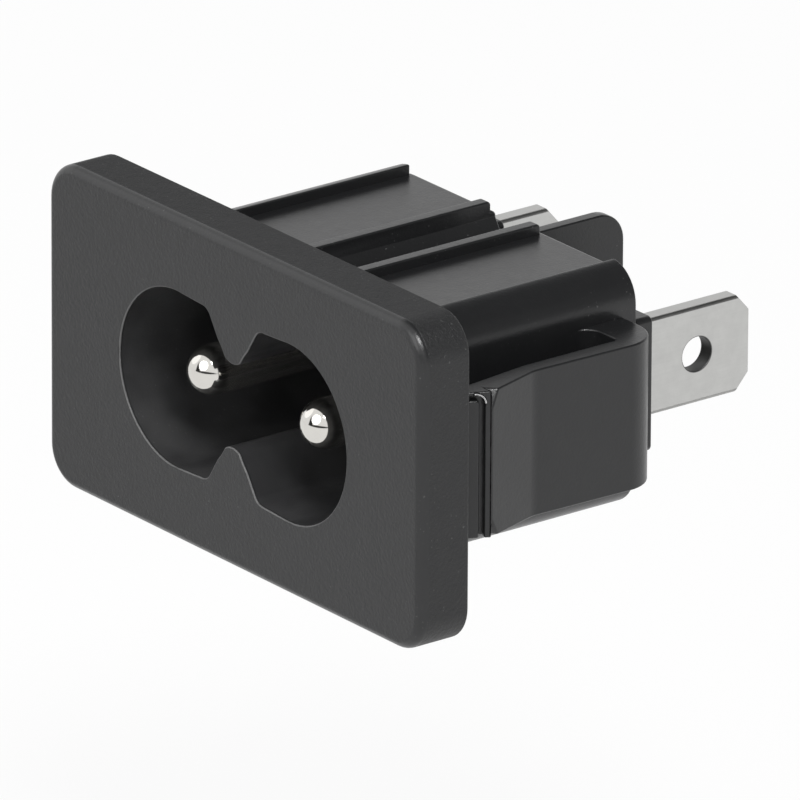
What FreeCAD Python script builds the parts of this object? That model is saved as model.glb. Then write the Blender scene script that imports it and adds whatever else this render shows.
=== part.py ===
import FreeCAD, Part
import math
import os

# Snap-in mains inlet with a figure-eight recess, two contact pins and two 4.8 mm blade terminals.
# Millimetres. X runs to the right seen from the front, Y to the rear and Z up.
# The origin is the centre of the flange's back face, the face that seats on the panel.

# Flange
flange_width = 28.5
flange_height = 16.0
flange_thickness = 2.8
flange_corner_radius = 1.9
flange_front_edge_radius = 0.5
flange_back_edge_radius = 0.15

# Contact pins
pin_pitch = 8.6
pin_diameter = 2.4
pin_setback = 0.9
pin_seat_diameter = 2.8
pin_shoulder_diameter = 3.6
pin_shoulder_length = 0.8
pin_spigot_diameter = 1.8
pin_rivet_diameter = 2.8
pin_rivet_height = 0.45
pin_rivet_chamfer = 0.25

# Figure-eight recess
recess_depth = 12.0
recess_lobe_radius = 4.35
waist_gap = 4.1
notch_half_angle = 32.0
notch_tip_radius = 1.0
notch_mouth_radius = 0.7
notch_mouth_drop = 0.12

# Body behind the flange
body_length = 13.7
top_wall = 1.09
side_wall = 0.75
body_corner_radius = 1.8
rib_height = 0.51
rib_width = 0.65
groove_width = 3.08
waist_wall = 0.8
shoulder_width = 1.7
floor_thickness = 2.2
rear_step_length = 0.3
rear_step_inset = 0.5
rear_step_corner_radius = 1.2
rear_edge_radius = 0.25
rib_end_radius = 0.2

# Snap arms, one on each side
arm_top = 3.7
arm_bottom = 3.45
arm_slot = 2.05
arm_slot_outer_radius = 0.2
arm_slot_inner_radius = 0.8
arm_root_thickness = 1.05
arm_bend_thickness = 0.85
arm_bend_from_flange = 5.2
arm_bend_radius = 1.6
arm_crest_rise = 0.95
arm_crest_from_flange = 2.05
arm_tip_from_flange = 0.5
arm_tip_thickness = 0.4
arm_tip_lean = 0.6
arm_slot_end_from_rear = 3.05
arm_root_from_rear = 1.05
arm_root_radius = 1.85
arm_edge_radius = 0.2
arm_crest_corner = 0.6
arm_crest_corner_height = 0.9
latch_groove_width = 0.23
latch_groove_depth = 0.4
latch_groove_from_crest = 0.36
latch_groove_from_edge = 0.2
latch_groove_turn_radius = 0.4

# Blade terminals
tab_width = 4.8
tab_thickness = 0.8
tab_length = 7.8
tab_offset = 2.85
tab_hole_diameter = 1.7
tab_hole_from_end = 3.05
tab_end_chamfer_along = 0.75
tab_end_chamfer_across = 0.85
tab_edge_radius = 0.1
bend_inner_radius = 0.4
foot_overhang = 1.6
foot_corner_radius = 0.8

# Terminal chambers at the rear
terminal_clearance = 0.12
chamber_wall = 0.8
chamber_side_room = 1.0
chamber_lip = 0.7
pin_zone_height = 7.7
chamber_corner_radius = 0.3

# Barrier between the terminals
barrier_thickness = 0.65
barrier_height = 9.35
barrier_length = 6.1
barrier_corner_radius = 1.45

# Places that follow from the sizes above
pin_x = pin_pitch / 2
front_y = -flange_thickness
floor_y = front_y + recess_depth
chamber_floor_y = floor_y + floor_thickness
flat_z = recess_lobe_radius + top_wall
body_top = flat_z + rib_height
body_half_width = pin_x + recess_lobe_radius + side_wall
notch_slope = math.radians(notch_half_angle)
groove_x = groove_width / 2
rib_x = groove_x + rib_width
rear_step_y = body_length - rear_step_length
lip_y = body_length + chamber_lip
tab_inner_x = pin_x + tab_offset - tab_thickness / 2
tab_outer_x = tab_inner_x + tab_thickness
tab_end_y = lip_y - chamber_lip + tab_length
foot_rear_y = chamber_floor_y + tab_thickness


def vec(x, y, z):
    return FreeCAD.Vector(x, y, z)


def box(x0, x1, y0, y1, z0, z1):
    return Part.makeBox(x1 - x0, y1 - y0, z1 - z0, vec(x0, y0, z0))


def mirrored_x(shape):
    return shape.mirror(vec(0, 0, 0), vec(1, 0, 0))


def mirrored_z(shape):
    return shape.mirror(vec(0, 0, 0), vec(0, 0, 1))


def rounded_outline(corners, place):
    # Closed wire through corners (u, v, radius), each corner rounded by its radius.
    # place turns (u, v) into a point in space.
    count = len(corners)
    spans = []
    for i, (u, v, radius) in enumerate(corners):
        here = vec(u, v, 0)
        before = vec(*corners[i - 1][:2], 0) - here
        after = vec(*corners[(i + 1) % count][:2], 0) - here
        before.normalize()
        after.normalize()
        half = before.getAngle(after) / 2
        if radius == 0:
            spans.append((here, None, here))
            continue
        cut = radius / math.tan(half)
        middle = before + after
        middle.normalize()
        crown = here + middle * (radius / math.sin(half) - radius)
        spans.append((here + before * cut, crown, here + after * cut))
    edges = []
    for i, (start, crown, end) in enumerate(spans):
        if crown is not None:
            edges.append(Part.Arc(place(start), place(crown), place(end)).toShape())
        following = spans[(i + 1) % count][0]
        if end.distanceToPoint(following) > 1e-6:
            edges.append(Part.LineSegment(place(end), place(following)).toShape())
    return Part.Wire(edges)


def prism_y(corners, y0, y1):
    # Outline in X and Z, run along Y.
    wire = rounded_outline(corners, lambda p: vec(p.x, y0, p.y))
    return Part.Face(wire).extrude(vec(0, y1 - y0, 0))


def prism_z(corners, z0, z1):
    # Outline in X and Y, run along Z.
    wire = rounded_outline(corners, lambda p: vec(p.x, p.y, z0))
    return Part.Face(wire).extrude(vec(0, 0, z1 - z0))


def prism_x(corners, x0, x1):
    # Outline in Y and Z, run along X.
    wire = rounded_outline(corners, lambda p: vec(x0, p.x, p.y))
    return Part.Face(wire).extrude(vec(x1 - x0, 0, 0))


def rectangle(half_u, half_v, radius):
    return [(-half_u, -half_v, radius), (half_u, -half_v, radius),
            (half_u, half_v, radius), (-half_u, half_v, radius)]


def cylinder_y(x, y0, y1, diameter):
    return Part.makeCylinder(diameter / 2, y1 - y0, vec(x, y0, 0), vec(0, 1, 0))


def edges_where(shape, test):
    return [edge for edge in shape.Edges if test(edge.BoundBox)]


def make_flange():
    plate = prism_y(rectangle(flange_width / 2, flange_height / 2, flange_corner_radius), front_y, 0)
    front = edges_where(plate, lambda b: b.YMax < front_y + 1e-3)
    plate = plate.makeFillet(flange_front_edge_radius, front)
    back = edges_where(plate, lambda b: b.YMin > -1e-3)
    return plate.makeFillet(flange_back_edge_radius, back)


def notch_apex():
    # Height at which the flanks of the V notch would meet if its tip were sharp.
    return waist_gap / 2 + notch_tip_radius - notch_tip_radius / math.sin(notch_slope)


def groove_outline(top):
    # Square groove whose bottom follows the V notch inside, one waist wall above it.
    apex = notch_apex() + waist_wall / math.sin(notch_slope)
    knee = apex + groove_x / math.tan(notch_slope)
    tip = notch_tip_radius - waist_wall
    return [(-groove_x, top, 0), (-groove_x, knee, 0), (0, apex, tip), (groove_x, knee, 0), (groove_x, top, 0)]


def make_body():
    # Two blocks, one over each lobe, joined by the web that follows the waist of the recess.
    # Shoulders and ribs stop a step short of the rear face.
    outline = rectangle(body_half_width, body_top, body_corner_radius)
    inset = rectangle(body_half_width - rear_step_inset, flat_z, rear_step_corner_radius)
    step = prism_y(inset, rear_step_y, body_length)
    step = step.makeFillet(rear_edge_radius, edges_where(step, lambda b: b.YMin > body_length - 1e-3))
    flat_end = body_half_width - shoulder_width
    beyond = body_top + rib_height
    flat = box(rib_x, flat_end, 0, rear_step_y, flat_z, beyond)
    cuts = [flat, mirrored_x(flat), prism_y(groove_outline(beyond), 0, body_length)]
    cuts += [mirrored_z(cut) for cut in cuts]
    return round_rib_ends(prism_y(outline, 0, rear_step_y).fuse(step).cut(cuts))


def round_rib_ends(body):
    def at_rib_end(b):
        over_rib = b.XMin > -rib_x - 1e-3 and b.XMax < rib_x + 1e-3
        at_top = b.ZMin > body_top - 1e-3 or b.ZMax < 1e-3 - body_top
        return over_rib and at_top and b.YMin > rear_step_y - 1e-3
    return body.makeFillet(rib_end_radius, edges_where(body, at_rib_end))


def make_recess():
    # Two round lobes about the pins and a waist between them, pinched by a rounded V notch above and below.
    apex = notch_apex()
    mouth_z = recess_lobe_radius - notch_mouth_drop
    mouth_x = (mouth_z - apex) * math.tan(notch_slope)
    upper = [(pin_x, recess_lobe_radius, 0), (mouth_x, mouth_z, notch_mouth_radius),
             (0, apex, notch_tip_radius), (-mouth_x, mouth_z, notch_mouth_radius),
             (-pin_x, recess_lobe_radius, 0)]
    lower = [(-u, -v, radius) for u, v, radius in upper]
    lobe = cylinder_y(pin_x, front_y, floor_y, 2 * recess_lobe_radius)
    return prism_y(upper + lower, front_y, floor_y).fuse([lobe, mirrored_x(lobe)])


def chamber_outline(grow):
    # Stepped pocket that takes the foot round the pin and, outboard of it, the blade.
    inner = pin_x - foot_overhang - terminal_clearance - grow
    step = 2 * pin_x - inner
    outer = tab_outer_x + chamber_side_room + grow
    tall = pin_zone_height / 2 + grow
    low = tab_width / 2 + terminal_clearance + grow
    r = chamber_corner_radius
    return [(inner, -tall, r), (step, -tall, r), (step, -low, 0), (outer, -low, r),
            (outer, low, r), (step, low, 0), (step, tall, r), (inner, tall, r)]


def make_arm():
    # Cantilever joined to the body at the rear. Its free end faces the back of the flange.
    slot_x = body_half_width + arm_slot
    root_x = slot_x + arm_root_thickness
    bend_x = slot_x + arm_bend_thickness
    crest_x = bend_x + arm_crest_rise
    tip_x = slot_x + arm_tip_lean
    root_y = body_length - arm_root_from_rear
    slot_y = body_length - arm_slot_end_from_rear
    buried_x = body_half_width - side_wall / 2
    arm = prism_z([(buried_x, root_y, 0), (root_x, root_y, arm_root_radius),
                   (bend_x, arm_bend_from_flange, arm_bend_radius),
                   (crest_x, arm_crest_from_flange, arm_edge_radius),
                   (tip_x + arm_tip_thickness, arm_tip_from_flange, 0),
                   (tip_x, arm_tip_from_flange, 0),
                   (slot_x, arm_bend_from_flange, 0),
                   (slot_x, slot_y, arm_slot_outer_radius),
                   (body_half_width, slot_y, arm_slot_inner_radius),
                   (body_half_width, arm_bend_from_flange, 0),
                   (buried_x, arm_bend_from_flange, 0)], -arm_bottom, arm_top)
    return cut_latch_face(arm, crest_x, tip_x + arm_tip_thickness)


def crest_corner(crest, half_height):
    # What is cut from the upper corner of the arm's crest.
    size = arm_crest_corner
    points = [crest + vec(0, size, half_height), crest + vec(-size, 0, half_height),
              crest + vec(0, 0, half_height - arm_crest_corner_height)]
    tip = crest + vec(size, 0, half_height + size)
    faces = [Part.Face(Part.makePolygon(points + points[:1]))]
    for start, end in ((0, 1), (1, 2), (2, 0)):
        faces.append(Part.Face(Part.makePolygon([points[start], points[end], tip, points[start]])))
    return Part.makeSolid(Part.makeShell(faces))


def cut_latch_face(arm, crest_x, foot_x):
    # The corners of the crest are cut off. A groove runs up beside the crest and turns off to the tip.
    run = vec(foot_x - crest_x, arm_tip_from_flange - arm_crest_from_flange, 0)
    ramp_length = run.Length
    run.normalize()
    normal = vec(-run.y, run.x, 0)
    crest = vec(crest_x, arm_crest_from_flange, 0)
    near = latch_groove_from_crest
    far = near + latch_groove_width
    top = arm_top - latch_groove_from_edge
    under = top - latch_groove_width
    past_tip = ramp_length + latch_groove_width
    bend = latch_groove_turn_radius
    path = [(near, -arm_bottom, 0), (near, top, bend), (past_tip, top, 0), (past_tip, under, 0),
            (far, under, bend - latch_groove_width), (far, -arm_bottom, 0)]
    wire = rounded_outline(path, lambda p: crest - normal * latch_groove_depth + run * p.x + vec(0, 0, p.y))
    groove = Part.Face(wire).extrude(normal * (2 * latch_groove_depth))
    return arm.cut([crest_corner(crest, arm_top), mirrored_z(crest_corner(crest, arm_bottom)), groove])


def make_barrier():
    half = barrier_height / 2
    end = body_length + barrier_length
    wall = barrier_thickness / 2
    corners = [(floor_y, -half, 0), (end, -half, barrier_corner_radius),
               (end, half, barrier_corner_radius), (floor_y, half, 0)]
    return prism_x(corners, -wall, wall)


def make_housing():
    lip = prism_y(chamber_outline(chamber_wall), chamber_floor_y, lip_y)
    arm = make_arm()
    solid = make_flange().fuse([make_body(), lip, mirrored_x(lip), arm, mirrored_x(arm), make_barrier()])
    pocket = prism_y(chamber_outline(0), chamber_floor_y, lip_y)
    bore = cylinder_y(pin_x, floor_y, chamber_floor_y, pin_seat_diameter)
    seat = cylinder_y(pin_x, chamber_floor_y - pin_shoulder_length, chamber_floor_y, pin_shoulder_diameter)
    cuts = [make_recess()]
    for hollow in (pocket, bore, seat):
        cuts += [hollow, mirrored_x(hollow)]
    return solid.cut(cuts).removeSplitter()


def make_pin():
    # Turned pin: round nose, shaft, seat and shoulder in the housing's floor, spigot and riveted head.
    nose_centre_y = front_y + pin_setback + pin_diameter / 2
    shoulder_y = chamber_floor_y - pin_shoulder_length
    head_y = foot_rear_y + pin_rivet_height
    nose = Part.makeSphere(pin_diameter / 2, vec(pin_x, nose_centre_y, 0), vec(0, 1, 0))
    shaft = cylinder_y(pin_x, nose_centre_y, floor_y, pin_diameter)
    seat = cylinder_y(pin_x, floor_y, shoulder_y, pin_seat_diameter)
    shoulder = cylinder_y(pin_x, shoulder_y, chamber_floor_y, pin_shoulder_diameter)
    spigot = cylinder_y(pin_x, chamber_floor_y, foot_rear_y, pin_spigot_diameter)
    head = cylinder_y(pin_x, foot_rear_y, head_y, pin_rivet_diameter)
    head = head.makeChamfer(pin_rivet_chamfer, edges_where(head, lambda b: b.YMin > head_y - 1e-3))
    return nose.fuse([shaft, seat, shoulder, spigot, head]).removeSplitter()


def make_terminal():
    # Stamped strip bent once: a foot under the pin's rivet and a blade to the rear.
    half = tab_width / 2
    foot_end = pin_x - foot_overhang
    bend_outer_radius = bend_inner_radius + tab_thickness
    strip = prism_z([(foot_end, chamber_floor_y, 0), (tab_outer_x, chamber_floor_y, bend_outer_radius),
                     (tab_outer_x, tab_end_y, 0), (tab_inner_x, tab_end_y, 0),
                     (tab_inner_x, foot_rear_y, bend_inner_radius), (foot_end, foot_rear_y, 0)], -half, half)
    long_edges = edges_where(strip, lambda b: b.YMin > foot_rear_y and b.YLength > tab_length / 2)
    strip = strip.makeFillet(tab_edge_radius, long_edges)
    blade = prism_x([(chamber_floor_y, -half, 0),
                     (tab_end_y - tab_end_chamfer_along, -half, 0),
                     (tab_end_y, -half + tab_end_chamfer_across, 0),
                     (tab_end_y, half - tab_end_chamfer_across, 0),
                     (tab_end_y - tab_end_chamfer_along, half, 0),
                     (chamber_floor_y, half, 0)], foot_end, tab_outer_x)
    foot = prism_y([(foot_end, -half, foot_corner_radius), (tab_outer_x, -half, 0),
                    (tab_outer_x, half, 0), (foot_end, half, foot_corner_radius)],
                   chamber_floor_y, tab_end_y)
    strip = strip.common(blade).common(foot)
    hole_y = tab_end_y - tab_hole_from_end
    hole = Part.makeCylinder(tab_hole_diameter / 2, tab_thickness, vec(tab_inner_x, hole_y, 0), vec(1, 0, 0))
    rivet_hole = cylinder_y(pin_x, chamber_floor_y, foot_rear_y, pin_spigot_diameter)
    return strip.cut([hole, rivet_hole])


def write(shape, node):
    solid = shape.Solids[0]
    solid.exportStep("parts/" + node + ".step")


os.makedirs("parts", exist_ok=True)
pin = make_pin()
terminal = make_terminal()
write(make_housing(), "housing")
write(pin, "contact_pin_right")
write(mirrored_x(pin), "contact_pin_left")
write(terminal, "tab_terminal_right")
write(mirrored_x(terminal), "tab_terminal_left")
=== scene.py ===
import bmesh
import bpy
import math
from mathutils import Matrix, Vector


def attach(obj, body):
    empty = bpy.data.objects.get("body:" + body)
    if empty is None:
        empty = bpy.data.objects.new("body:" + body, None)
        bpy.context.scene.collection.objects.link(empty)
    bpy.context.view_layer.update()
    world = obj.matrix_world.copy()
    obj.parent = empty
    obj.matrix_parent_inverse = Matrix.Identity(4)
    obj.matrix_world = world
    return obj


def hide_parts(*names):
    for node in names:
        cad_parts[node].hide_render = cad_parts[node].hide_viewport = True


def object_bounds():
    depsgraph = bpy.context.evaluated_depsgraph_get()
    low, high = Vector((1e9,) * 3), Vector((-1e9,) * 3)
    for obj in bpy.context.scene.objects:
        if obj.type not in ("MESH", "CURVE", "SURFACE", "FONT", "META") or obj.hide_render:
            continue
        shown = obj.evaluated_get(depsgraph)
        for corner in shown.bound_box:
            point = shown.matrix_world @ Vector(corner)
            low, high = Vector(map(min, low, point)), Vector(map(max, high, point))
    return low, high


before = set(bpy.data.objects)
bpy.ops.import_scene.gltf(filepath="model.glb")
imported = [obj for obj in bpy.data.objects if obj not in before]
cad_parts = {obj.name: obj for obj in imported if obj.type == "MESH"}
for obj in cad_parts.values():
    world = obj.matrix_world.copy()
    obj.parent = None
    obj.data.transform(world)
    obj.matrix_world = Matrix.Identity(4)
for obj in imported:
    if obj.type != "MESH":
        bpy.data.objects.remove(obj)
cad_low, cad_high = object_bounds()

# Housing: one black thermoplastic moulding with flange, figure-eight recess, ribs, snap arms and
# terminal chambers. The mould is spark eroded round the flange, coarsest along its two long sides,
# and smoother elsewhere. Outer edges are slightly round. The recess's rim is painted pale as a
# highlight, the recess is painted lighter as fill light, pale specks on the flange are painted
# glints, and the bead at each latch groove's turn is painted pale as a glint.
MM = 0.001
MERGE_DISTANCE = 0.0005 * MM
FLAT_ANGLE = math.radians(0.3)
EDGE_ANGLE = math.radians(32)
MOULD_EDGE_RADIUS = 0.09 * MM
ARM_CREST_X = 13.25 * MM
ARM_CREST_Y = 2.05 * MM
ARM_TIP_LEAN = math.radians(27.3)
LATCH_TURN_BEFORE_CREST = 0.76 * MM
LATCH_TURN_Z = 3.1 * MM
LATCH_BEAD_RADIUS = 0.47 * MM
LATCH_BEAD_HALF_WIDTH = 0.12 * MM
LATCH_BEAD_HEIGHT = 0.08 * MM
# Each pair of lengths below is where a mask starts and where it ends its rise or fall.
ARM_OUTSIDE = (12.0 * MM, 12.1 * MM)
ARM_TIP_CUT = (0.8 * MM, 0.9 * MM)
LATCH_TURN_START = (-0.05 * MM, 0.05 * MM)
SPECK_FREE_X = (11.4 * MM, 11.5 * MM)
SPECK_FREE_Y = (0.0, 0.1 * MM)
RECESS_SIDE = (8.66 * MM, 8.70 * MM)
RECESS_TOP = (4.36 * MM, 4.40 * MM)
RECESS_NOTCH_SLOPE = 1.6
RECESS_NOTCH = (2.3 * MM, 2.4 * MM)
RIM_START = (-2.797 * MM, -2.78 * MM)
RIM_END = (-2.73 * MM, -2.70 * MM)
RECESS_START = (-2.72 * MM, -2.62 * MM)
RECESS_FLOOR = (9.25 * MM, 9.35 * MM)
FRONT_EDGE_START = (-2.795 * MM, -2.74 * MM)
FRONT_EDGE_END = (-2.36 * MM, -2.26 * MM)
FLANGE_BACK = (-0.06 * MM, 0.02 * MM)
FLANGE_LONG_SIDE = (7.88 * MM, 7.97 * MM)
PLASTIC_DARK = (0.0092, 0.0095, 0.0102, 1)
PLASTIC_LIGHT = (0.0142, 0.0145, 0.0152, 1)
# Painted fill light: the recess is coloured lighter than the plastic outside it, in random blotches.
RECESS_PAINTED_FILL_DARK = (0.027, 0.027, 0.028, 1)
RECESS_PAINTED_FILL_LIGHT = (0.046, 0.046, 0.047, 1)
# Painted highlight and glints: this pale colour paints a highlight on the recess's rim and glints in pale
# specks.
PAINTED_RIM_AND_SPECK_GLINT = (0.10, 0.10, 0.10, 1)
# Painted glint: the pale colour of the bead at each latch groove's turn.
PAINTED_BEAD_GLINT = (0.50, 0.50, 0.50, 1)
PLASTIC_IOR = 1.5


class Field:
    """A value that varies over a surface, carried by one socket of a material's nodes."""

    def __init__(self, tree, socket):
        self.tree = tree
        self.socket = socket

    def node(self, kind, settings, inputs, output=0):
        # Adds any node: settings are set first, then values or links by input name or number.
        node = self.tree.nodes.new(kind)
        for name, value in settings.items():
            setattr(node, name, value)
        for name, value in inputs.items():
            if isinstance(value, Field):
                self.tree.links.new(value.socket, node.inputs[name])
            else:
                node.inputs[name].default_value = value
        return Field(self.tree, node.outputs[output])

    def maths(self, operation, *values):
        return self.node("ShaderNodeMath", {"operation": operation}, dict(enumerate(values)))

    def vector(self, operation, *values, output=0):
        inputs = dict(enumerate((self,) + values))
        return self.node("ShaderNodeVectorMath", {"operation": operation}, inputs, output)

    def __add__(self, other):
        return self.maths("ADD", self, other)

    def __radd__(self, other):
        return self.maths("ADD", other, self)

    def __sub__(self, other):
        return self.maths("SUBTRACT", self, other)

    def __rsub__(self, other):
        return self.maths("SUBTRACT", other, self)

    def __mul__(self, other):
        return self.maths("MULTIPLY", self, other)

    def __rmul__(self, other):
        return self.maths("MULTIPLY", other, self)

    def magnitude(self):
        return self.maths("ABSOLUTE", self)

    def root(self):
        return self.maths("SQRT", self)

    def clamped(self):
        return self.node("ShaderNodeClamp", {}, {"Value": self})

    def rise(self, low, high):
        # 0 below low, 1 above high, smooth between them.
        return self.node("ShaderNodeMapRange", {"interpolation_type": "SMOOTHSTEP"},
                         {"Value": self, "From Min": low, "From Max": high})

    def fall(self, low, high):
        # 1 below low, 0 above high, smooth between them.
        return 1 - self.rise(low, high)

    def mixed(self, dark, light):
        # The colour between dark and light that this value stands for.
        return self.node("ShaderNodeMix", {"data_type": "RGBA"}, {"Factor": self, "A": dark, "B": light}, 2)


def new_finish(name):
    # An empty material, its Principled shader and the object's own coordinates in metres.
    material = bpy.data.materials.new(name)
    material.use_nodes = True
    tree = material.node_tree
    shader = tree.nodes["Principled BSDF"]
    start = tree.nodes.new("ShaderNodeTexCoord")
    return material, shader, Field(tree, start.outputs["Object"])


def grain(place, size, detail=3.0, roughness=0.5, stretch=(1, 1, 1)):
    # Noise whose blotches are about size metres across, stretched along an axis where it is under 1.
    mapped = place.node("ShaderNodeMapping", {}, {"Vector": place, "Scale": Vector(stretch) / size})
    return mapped.node("ShaderNodeTexNoise", {}, {"Vector": mapped, "Scale": 1.0, "Detail": detail,
                                                  "Roughness": roughness})


def along(place, axis):
    # One coordinate of a place.
    return place.node("ShaderNodeSeparateXYZ", {}, {"Vector": place}, axis)


def relief(height, depth):
    # A normal that follows height, which runs from 0 to 1 over depth metres.
    return height.node("ShaderNodeBump", {}, {"Height": height, "Distance": depth, "Strength": 1.0})


def feed(shader, **fields):
    # Links or sets the shader's sockets, with _ for each space in a socket's name.
    for name, value in fields.items():
        socket = shader.inputs[name.replace("_", " ")]
        if isinstance(value, Field):
            value.tree.links.new(value.socket, socket)
        else:
            socket.default_value = value


def new_object(name, data):
    # An object that stands at the origin of the scene.
    made = bpy.data.objects.new(name, data)
    bpy.context.scene.collection.objects.link(made)
    return made


def dressed_copy(node, name, edge_radius, material, normals_by="FACE_AREA"):
    # The node's own form as a closed mesh in its finish, with round outer edges and smooth curved faces.
    mesh = bmesh.new()
    mesh.from_mesh(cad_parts[node].data)
    bmesh.ops.remove_doubles(mesh, verts=mesh.verts, dist=MERGE_DISTANCE)
    bmesh.ops.dissolve_limit(mesh, angle_limit=FLAT_ANGLE, verts=mesh.verts[:], edges=mesh.edges[:])
    outer = [edge for edge in mesh.edges if edge.is_convex and edge.calc_face_angle() > EDGE_ANGLE]
    bmesh.ops.bevel(mesh, geom=outer, offset=edge_radius, offset_type="OFFSET", affect="EDGES", segments=3,
                    profile=0.5, material=-1, loop_slide=False, clamp_overlap=False)
    for face in mesh.faces:
        face.smooth = True
    for edge in mesh.edges:
        edge.smooth = len(edge.link_faces) == 2 and edge.calc_face_angle() < EDGE_ANGLE
    data = bpy.data.meshes.new(name)
    mesh.to_mesh(data)
    mesh.free()
    data.materials.append(material)
    piece = new_object(name, data)
    evened = piece.modifiers.new("even_normals", "WEIGHTED_NORMAL")
    evened.keep_sharp = True
    evened.mode = normals_by
    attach(piece, "root")
    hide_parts(node)


def latch_bead(x, y, z):
    # Smooth bead along the outer side of the turn at the top of each arm's latch groove. The turn lies
    # in the leaning face between the arm's crest and its tip.
    before_crest = (ARM_CREST_X - x) * math.sin(ARM_TIP_LEAN) + (ARM_CREST_Y - y) * math.cos(ARM_TIP_LEAN)
    across = before_crest - LATCH_TURN_BEFORE_CREST
    over = z - LATCH_TURN_Z
    from_turn = (across * across + over * over).root()
    bead = (from_turn - LATCH_BEAD_RADIUS).magnitude().fall(0.0, LATCH_BEAD_HALF_WIDTH)
    on_arm = x.rise(*ARM_OUTSIDE) * before_crest.fall(*ARM_TIP_CUT)
    return bead * on_arm * over.rise(*LATCH_TURN_START)


def black_plastic():
    material, shader, place = new_finish("black_plastic")
    x = along(place, 0).magnitude()
    y = along(place, 1)
    z = along(place, 2).magnitude()
    facing_recess = x.fall(*RECESS_SIDE) * z.fall(*RECESS_TOP)
    facing_recess = facing_recess * (z - x * RECESS_NOTCH_SLOPE).fall(*RECESS_NOTCH)
    recess = facing_recess * y.rise(*RECESS_START) * y.fall(*RECESS_FLOOR)
    # Painted highlight: a mask for the bevel round the recess's mouth, which is painted pale.
    rim_highlight_mask = facing_recess * y.rise(*RIM_START) * y.fall(*RIM_END)
    front_edge = y.rise(*FRONT_EDGE_START) * y.fall(*FRONT_EDGE_END) * (1 - facing_recess)
    smooth_part = (y.rise(*FLANGE_BACK) + recess + front_edge).clamped()
    long_side = z.rise(*FLANGE_LONG_SIDE) * (1 - smooth_part)
    bead = latch_bead(x, y, along(place, 2))

    eroded = grain(place, 0.16 * MM, detail=4.0, roughness=0.6)
    coarse = grain(place, 0.55 * MM, detail=4.0, roughness=0.65)
    flow = grain(place, 1.1 * MM, roughness=0.55)
    sheen = grain(place, 0.5 * MM, detail=4.0, roughness=0.55)
    cloud = grain(place, 3.2 * MM, detail=2.0)
    # Painted glints: pale specks, kept off the arms, stand in for glints off the rough texture.
    off_arms = 1 - x.rise(*SPECK_FREE_X) * y.rise(*SPECK_FREE_Y)
    glint_specks = grain(place, 0.14 * MM, detail=1.0).rise(0.70, 0.78) * cloud.rise(0.4, 0.6) * off_arms

    moulded = (flow * 0.6 + eroded * 0.4).mixed(PLASTIC_DARK, PLASTIC_LIGHT)
    # Painted fill light: the recess is painted lighter, in random blotches, to stand in for light inside
    # it.
    recess_painted_fill = cloud.rise(0.35, 0.65).mixed(RECESS_PAINTED_FILL_DARK, RECESS_PAINTED_FILL_LIGHT)
    # The rim's painted highlight and the specks' painted glints, together.
    painted_rim_and_speck_glints = (rim_highlight_mask + glint_specks * 0.7).clamped()
    colour = painted_rim_and_speck_glints.mixed(recess.mixed(moulded, recess_painted_fill), PAINTED_RIM_AND_SPECK_GLINT)
    # Painted glint: the bead at each latch groove's turn is painted pale.
    colour = bead.rise(0.55, 0.85).mixed(colour, PAINTED_BEAD_GLINT)
    roughness = 0.46 - smooth_part * 0.2 + sheen * 0.08 + long_side * 0.32 - bead * 0.1
    surface = eroded * (1 - smooth_part * 0.8) + flow * smooth_part * 0.25 + coarse * long_side * 1.4
    normal = relief(surface * 0.6 + bead, LATCH_BEAD_HEIGHT)
    feed(shader, Base_Color=colour, Roughness=roughness, Normal=normal, IOR=PLASTIC_IOR)
    return material


dressed_copy("housing", "moulded_housing", MOULD_EDGE_RADIUS, black_plastic())

# Blade terminals: brass strip stamped to shape, bent once into an L and tin plated. The blade is
# satin from rolling, the punch has rolled its long edges over, and its hole's wall is torn and dark.
STAMPED_EDGE_RADIUS = 0.05 * MM
ROLL_OVER_DEPTH = 0.2 * MM
ROLLED_EDGE = (2.2 * MM, 2.46 * MM)
TAB_HOLE_Y = 18.45 * MM
TAB_HOLE_WALL = (0.87 * MM, 0.92 * MM)
TIN_DULL = (0.45, 0.45, 0.44, 1)
TIN_BRIGHT = (0.65, 0.65, 0.635, 1)
TORN_METAL = (0.12, 0.12, 0.12, 1)


def tin_plate():
    material, shader, place = new_finish("tin_plate")
    rolled = grain(place, 0.10 * MM, detail=4.0, roughness=0.6, stretch=(1, 0.08, 1))
    cloud = grain(place, 0.7 * MM, detail=4.0, roughness=0.6)
    beyond_hole = along(place, 1) - TAB_HOLE_Y
    height = along(place, 2)
    torn = (beyond_hole * beyond_hole + height * height).root().fall(*TAB_HOLE_WALL)
    rolled_over = height.magnitude().rise(*ROLLED_EDGE)
    colour = torn.mixed((cloud * 0.7 + rolled * 0.3).mixed(TIN_DULL, TIN_BRIGHT), TORN_METAL)
    roughness = 0.3 + cloud * 0.12 + torn * 0.2
    normal = relief(rolled * 0.005 - rolled_over, ROLL_OVER_DEPTH)
    feed(shader, Base_Color=colour, Metallic=1.0, Roughness=roughness, Normal=normal)
    return material


tab_finish = tin_plate()
for side in ("left", "right"):
    dressed_copy("tab_terminal_" + side, "blade_terminal_" + side, STAMPED_EDGE_RADIUS, tab_finish)

# Contact pins: brass turned on a lathe and nickel plated, with a bright round nose and a satin shaft.
# Each is pushed through the floor from behind up to its shoulder and riveted over its terminal's foot.
PIN_SHAFT = (-0.9 * MM, -0.5 * MM)
LATHE_MARK_DEPTH = 0.0002 * MM
NICKEL_DARK = (0.64, 0.625, 0.59, 1)
NICKEL_LIGHT = (0.71, 0.695, 0.66, 1)


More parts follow.
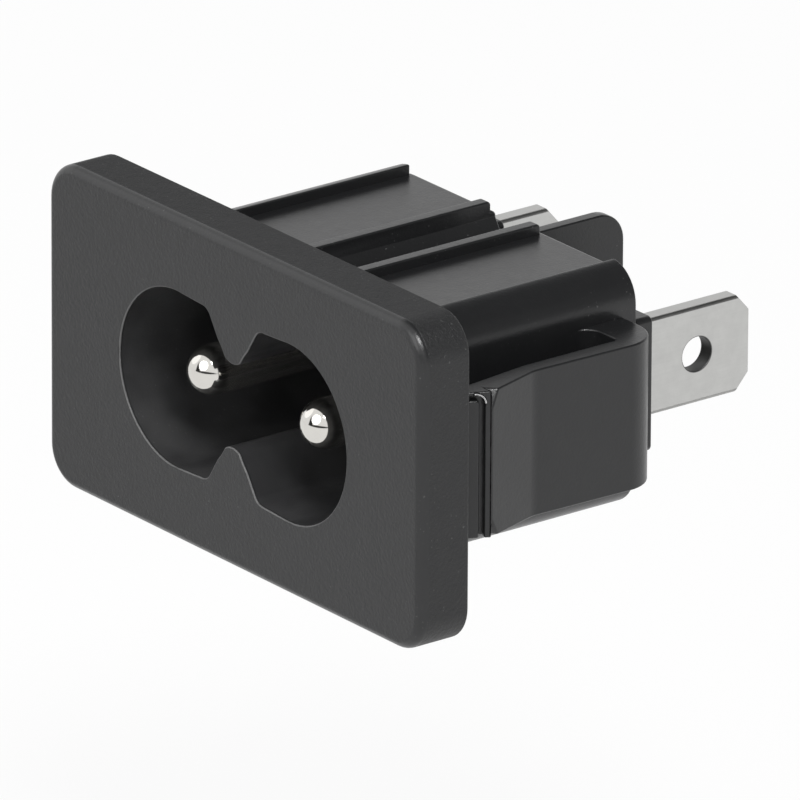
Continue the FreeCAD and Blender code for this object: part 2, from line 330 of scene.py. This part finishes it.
def nickel_plate():
    material, shader, place = new_finish("nickel_plate")
    turned = grain(place, 0.05 * MM, detail=2.0, stretch=(0.2, 1, 0.2))
    colour = grain(place, 0.8 * MM).mixed(NICKEL_DARK, NICKEL_LIGHT)
    shaft = along(place, 1).rise(*PIN_SHAFT)
    roughness = 0.05 + turned * 0.05 + shaft * 0.12
    normal = relief(turned * (1 - shaft), LATHE_MARK_DEPTH)
    feed(shader, Base_Color=colour, Metallic=1 - shaft * 0.06, Roughness=roughness, Normal=normal)
    return material


pin_finish = nickel_plate()
for side in ("left", "right"):
    dressed_copy("contact_pin_" + side, "turned_pin_" + side, STAMPED_EDGE_RADIUS, pin_finish,
                 normals_by="CORNER_ANGLE")

# Floor: flat and pale, well below the part, which its panel would hold up. The camera and shiny
# surfaces see it nearly white, and it still shows the part's shadow.
FLOOR_DROP = 24 * MM
FLOOR_SIZE = 4.0
FLOOR_GLOW = 0.9
FLOOR_COLOUR = (0.86, 0.86, 0.86, 1)
WHITE = (1, 1, 1, 1)


def ray_kinds(tree):
    # Whether a ray comes straight from the camera, and whether a shiny surface has mirrored it.
    path = tree.nodes.new("ShaderNodeLightPath")
    return Field(tree, path.outputs["Is Camera Ray"]), Field(tree, path.outputs["Is Glossy Ray"])


def pale_floor():
    material, shader, _ = new_finish("pale_floor")
    feed(shader, Base_Color=FLOOR_COLOUR, Roughness=0.9)
    tree = material.node_tree
    seen, mirrored = ray_kinds(tree)
    glow = tree.nodes.new("ShaderNodeEmission")
    glow.inputs["Color"].default_value = WHITE
    glow.inputs["Strength"].default_value = 1.0
    blend = tree.nodes.new("ShaderNodeMixShader")
    share = (seen + mirrored).clamped() * FLOOR_GLOW
    tree.links.new(share.socket, blend.inputs["Fac"])
    tree.links.new(shader.outputs["BSDF"], blend.inputs[1])
    tree.links.new(glow.outputs["Emission"], blend.inputs[2])
    tree.links.new(blend.outputs["Shader"], tree.nodes["Material Output"].inputs["Surface"])
    return material


floor_mesh = bmesh.new()
bmesh.ops.create_grid(floor_mesh, x_segments=1, y_segments=1, size=FLOOR_SIZE)
bmesh.ops.translate(floor_mesh, verts=floor_mesh.verts, vec=(0, 0, cad_low[2] - FLOOR_DROP))
floor_data = bpy.data.meshes.new("floor")
floor_mesh.to_mesh(floor_data)
floor_mesh.free()
floor_data.materials.append(pale_floor())
new_object("floor", floor_data)

# Camera: a long lens that looks at the flange from the right and above. Its place and scale were
# fitted to edges of the part in the photograph, and it aims beside the middle of the flange's front.
AZIMUTH = math.radians(52.4265)
ELEVATION = math.radians(21.1038)
ROLL = math.radians(0.2784)
DISTANCE = 821.38 * MM
PHOTO_PIXELS = 800
PIXELS_PER_MM = 21.7948
AIM_RIGHT = 7.724 * MM
AIM_UP = 0.2848 * MM

back = Vector((math.sin(AZIMUTH) * math.cos(ELEVATION), -math.cos(AZIMUTH) * math.cos(ELEVATION),
               math.sin(ELEVATION)))
level_right = Vector((math.cos(AZIMUTH), math.sin(AZIMUTH), 0))
level_up = back.cross(level_right)
right = level_right * math.cos(ROLL) + level_up * math.sin(ROLL)
up = level_up * math.cos(ROLL) - level_right * math.sin(ROLL)
flange_front = Vector((0, cad_low[1], 0))
lens = bpy.data.cameras.new("photo_camera")
lens.sensor_width = 36.0
lens.lens = PIXELS_PER_MM * DISTANCE / MM / PHOTO_PIXELS * lens.sensor_width
lens.clip_start = 0.01
lens.clip_end = 20.0
camera = new_object("photo_camera", lens)
turn = Matrix((right, up, back)).transposed().to_4x4()
eye = flange_front + back * DISTANCE + right * AIM_RIGHT + up * AIM_UP
camera.matrix_world = Matrix.Translation(eye) @ turn
bpy.context.scene.camera = camera
bpy.context.scene.view_settings.view_transform = "Standard"

# Sky: the camera sees it white, and a grey of it fills the shadows. Shiny surfaces see it white in
# front, dark high up and on the right behind the part, and with the dark corner of a frame beside the
# fill lamp, which the pins' round noses show as an L.
SKY_REAR = (-0.3, 0.2)
SKY_RIGHT = (-0.1, 0.3)
SKY_HORIZON = (-0.02, 0.1)
SKY_HIGH = (0.42, 0.60)
SKY_PAST_LEFT = (-0.72, -0.58)
SKY_RIGHT_GREY = (0.22, 0.22, 0.22, 1)
SKY_HIGH_GREY = (0.07, 0.07, 0.07, 1)
SKY_FILL_GREY = (0.55, 0.55, 0.55, 1)
FRAME_GREY = (0.03, 0.03, 0.03, 1)
# The frame's bars, in the plane across the camera's view where a ball shows its surroundings.
SILL_SLOPE = 0.15
SILL_DROP = 0.19
SILL_EDGE = (0.05, 0.08)
SILL_LEFT_END = (-0.62, -0.59)
SILL_RIGHT_END = (0.0, 0.4)
POST_SLOPE = 0.3
POST_LEFT = 0.53
POST_EDGE = (0.06, 0.09)
POST_FOOT = (-0.16, -0.13)
POST_TOP = (0.13, 0.36)


def studio_sky():
    world = bpy.data.worlds.new("studio_sky")
    bpy.context.scene.world = world
    world.use_nodes = True
    tree = world.node_tree
    start = tree.nodes.new("ShaderNodeTexCoord")
    direction = Field(tree, start.outputs["Generated"])
    seen, mirrored = ray_kinds(tree)
    rightward = along(direction, 0)
    height = along(direction, 2)
    rear = along(direction, 1).rise(*SKY_REAR)
    beside = rightward.rise(*SKY_RIGHT) * height.rise(*SKY_HORIZON)
    above = height.rise(*SKY_HIGH) * rightward.rise(*SKY_PAST_LEFT)
    midway = direction.vector("ADD", back).vector("NORMALIZE")
    across = midway.vector("DOT_PRODUCT", right, output=1)
    upward = midway.vector("DOT_PRODUCT", up, output=1)
    sill = (upward + across * SILL_SLOPE + SILL_DROP).magnitude().fall(*SILL_EDGE)
    sill = sill * across.rise(*SILL_LEFT_END) * across.fall(*SILL_RIGHT_END)
    post = (across - upward * POST_SLOPE + POST_LEFT).magnitude().fall(*POST_EDGE)
    post = post * upward.rise(*POST_FOOT) * upward.fall(*POST_TOP)
    level = (beside * rear).mixed(WHITE, SKY_RIGHT_GREY)
    level = (above * rear).mixed(level, SKY_HIGH_GREY)
    level = (sill + post).clamped().mixed(level, FRAME_GREY)
    shown = seen.mixed(mirrored.mixed(SKY_FILL_GREY, level), WHITE)
    tree.links.new(shown.socket, tree.nodes["Background"].inputs["Color"])


studio_sky()

# Lamps: a small soft key from above on the right, a large weak fill in front, and a faint one from
# the left that keeps the flange's upper edge light. All look at the middle of the part.
KEY_DIRECTION = (0.535, -0.291, 0.789)
FILL_DIRECTION = (0.10, -0.855, 0.512)
SIDE_DIRECTION = (-0.74, -0.45, 0.50)


def soft_lamp(name, direction, distance, size, power):
    # A round lamp, with its distance and size in metres and its power in watts.
    light = bpy.data.lights.new(name, "AREA")
    light.shape = "DISK"
    light.size = size
    light.energy = power
    lamp = new_object(name, light)
    lamp.location = part_centre + Vector(direction).normalized() * distance
    lamp.rotation_euler = (part_centre - lamp.location).to_track_quat("-Z", "Y").to_euler()


part_centre = (Vector(cad_low) + Vector(cad_high)) / 2
soft_lamp("key_lamp", KEY_DIRECTION, distance=0.45, size=0.16, power=1.3)
soft_lamp("fill_lamp", FILL_DIRECTION, distance=0.45, size=0.34, power=0.6)
soft_lamp("side_lamp", SIDE_DIRECTION, distance=0.40, size=0.30, power=0.09)
